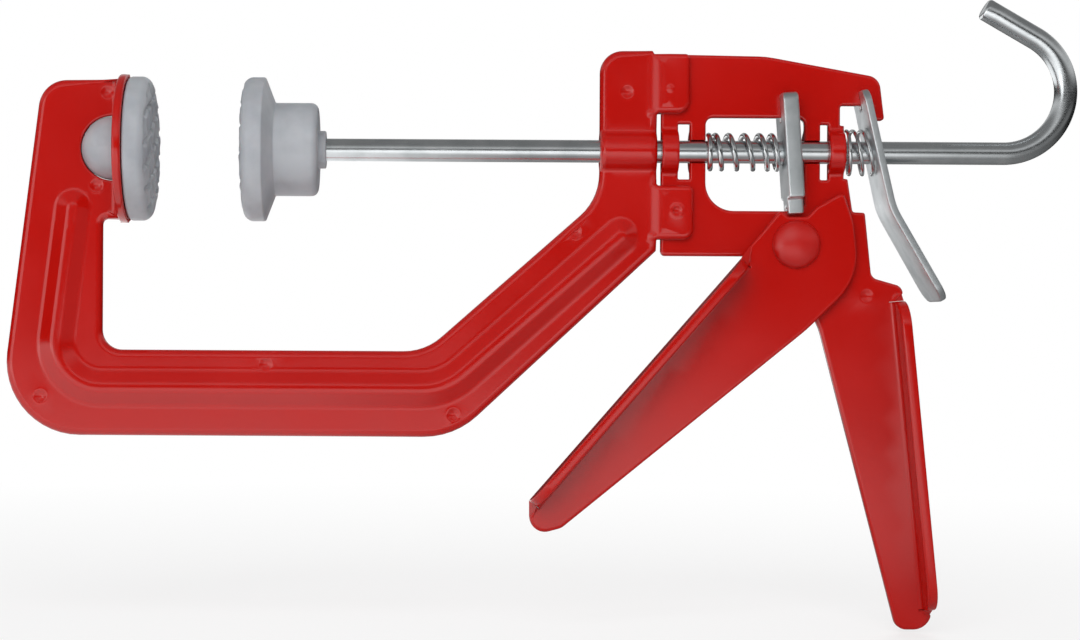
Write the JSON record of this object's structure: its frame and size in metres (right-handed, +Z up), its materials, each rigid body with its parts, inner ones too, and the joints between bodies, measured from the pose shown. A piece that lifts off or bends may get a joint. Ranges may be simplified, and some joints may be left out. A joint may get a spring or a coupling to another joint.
{
  "type": "one-handed speed clamp",
  "caption": "One-handed speed clamp: red pressed C-frame, plain round push rod, trigger and grip, drive plate, release lever and round swivel pads.",
  "frame": {"origin": "middle of the fixed pad's clamping face, on the push rod's axis", "axes": "+X along the push rod from the fixed pad to the moving pad and on to the pull hook, +Z up from the C-frame's bar to the rod, +Y away from the side that the trigger is on"},
  "size_m": [0.3793, 0.0526, 0.2235],
  "materials": {
    "frame_enamel": "glossy red stoved enamel over pressed steel",
    "head_enamel": "glossy red stoved enamel over thick steel plate",
    "trigger_enamel": "glossy red stoved enamel over thick steel plate",
    "rivet_enamel": "glossy red stoved enamel over a domed rivet head",
    "drive_zinc": "satin zinc-plated blanked steel",
    "lever_zinc": "satin zinc-plated blanked steel",
    "rod_zinc": "bright zinc-plated drawn bar",
    "spring_wire": "bright plated spring wire",
    "clip_steel": "phosphated spring steel",
    "pad_nylon": "off-white moulded nylon with a rough waffle face"
  },
  "bodies": {
    "frame": {"c_frame_front": "frame_enamel", "c_frame_back": "frame_enamel", "head_plate": "head_enamel", "pivot_rivet": "rivet_enamel", "main_spring": "spring_wire", "release_spring": "spring_wire"},
    "fixed_pad": {"fixed_pad": "pad_nylon"},
    "rod_end": {"retaining_clip": "clip_steel"},
    "rod": {"push_rod": "rod_zinc"},
    "moving_pad": {"moving_pad": "pad_nylon"},
    "trigger": {"trigger": "trigger_enamel"},
    "drive_plate": {"drive_plate": "drive_zinc"},
    "release_lever": {"release_lever": "lever_zinc"}
  },
  "joints": [
    {"name": "fixed_pad_spin", "type": "hinge", "parent": "frame", "child": "fixed_pad", "pos_m": [0, 0, 0], "axis": [1, 0, 0], "continuous": true},
    {"name": "rod_slide", "type": "slide", "parent": "frame", "child": "rod_end", "axis": [1, 0, 0], "range_m": [-0.0308, 0.096]},
    {"name": "rod_turn", "type": "hinge", "parent": "rod_end", "child": "rod", "pos_m": [0.052, 0, 0], "axis": [1, 0, 0], "range_deg": [-130, 130]},
    {"name": "moving_pad_spin", "type": "hinge", "parent": "rod", "child": "moving_pad", "pos_m": [0.031, 0, 0], "axis": [1, 0, 0], "continuous": true},
    {"name": "trigger_pull", "type": "hinge", "parent": "frame", "child": "trigger", "pos_m": [0.2271, 0, -0.0328], "axis": [0, -1, 0], "range_deg": [0, 25], "stiffness_Nm_per_rad": 0.6, "springref_deg": -20.05},
    {"name": "drive_slide", "type": "slide", "parent": "frame", "child": "drive_plate", "axis": [-1, 0, 0], "range_m": [0, 0.0062], "deforming": ["main_spring"]},
    {"name": "release_press", "type": "hinge", "parent": "frame", "child": "release_lever", "pos_m": [0.2515, 0, 0.0155], "axis": [0, 1, 0], "range_deg": [0, 5], "stiffness_Nm_per_rad": 0.5, "springref_deg": -11.46, "deforming": ["release_spring"]}
  ],
  "couplings": [
    {"joint": "drive_slide", "follows": "trigger_pull", "m_per_rad": 0.0138}
  ]
}
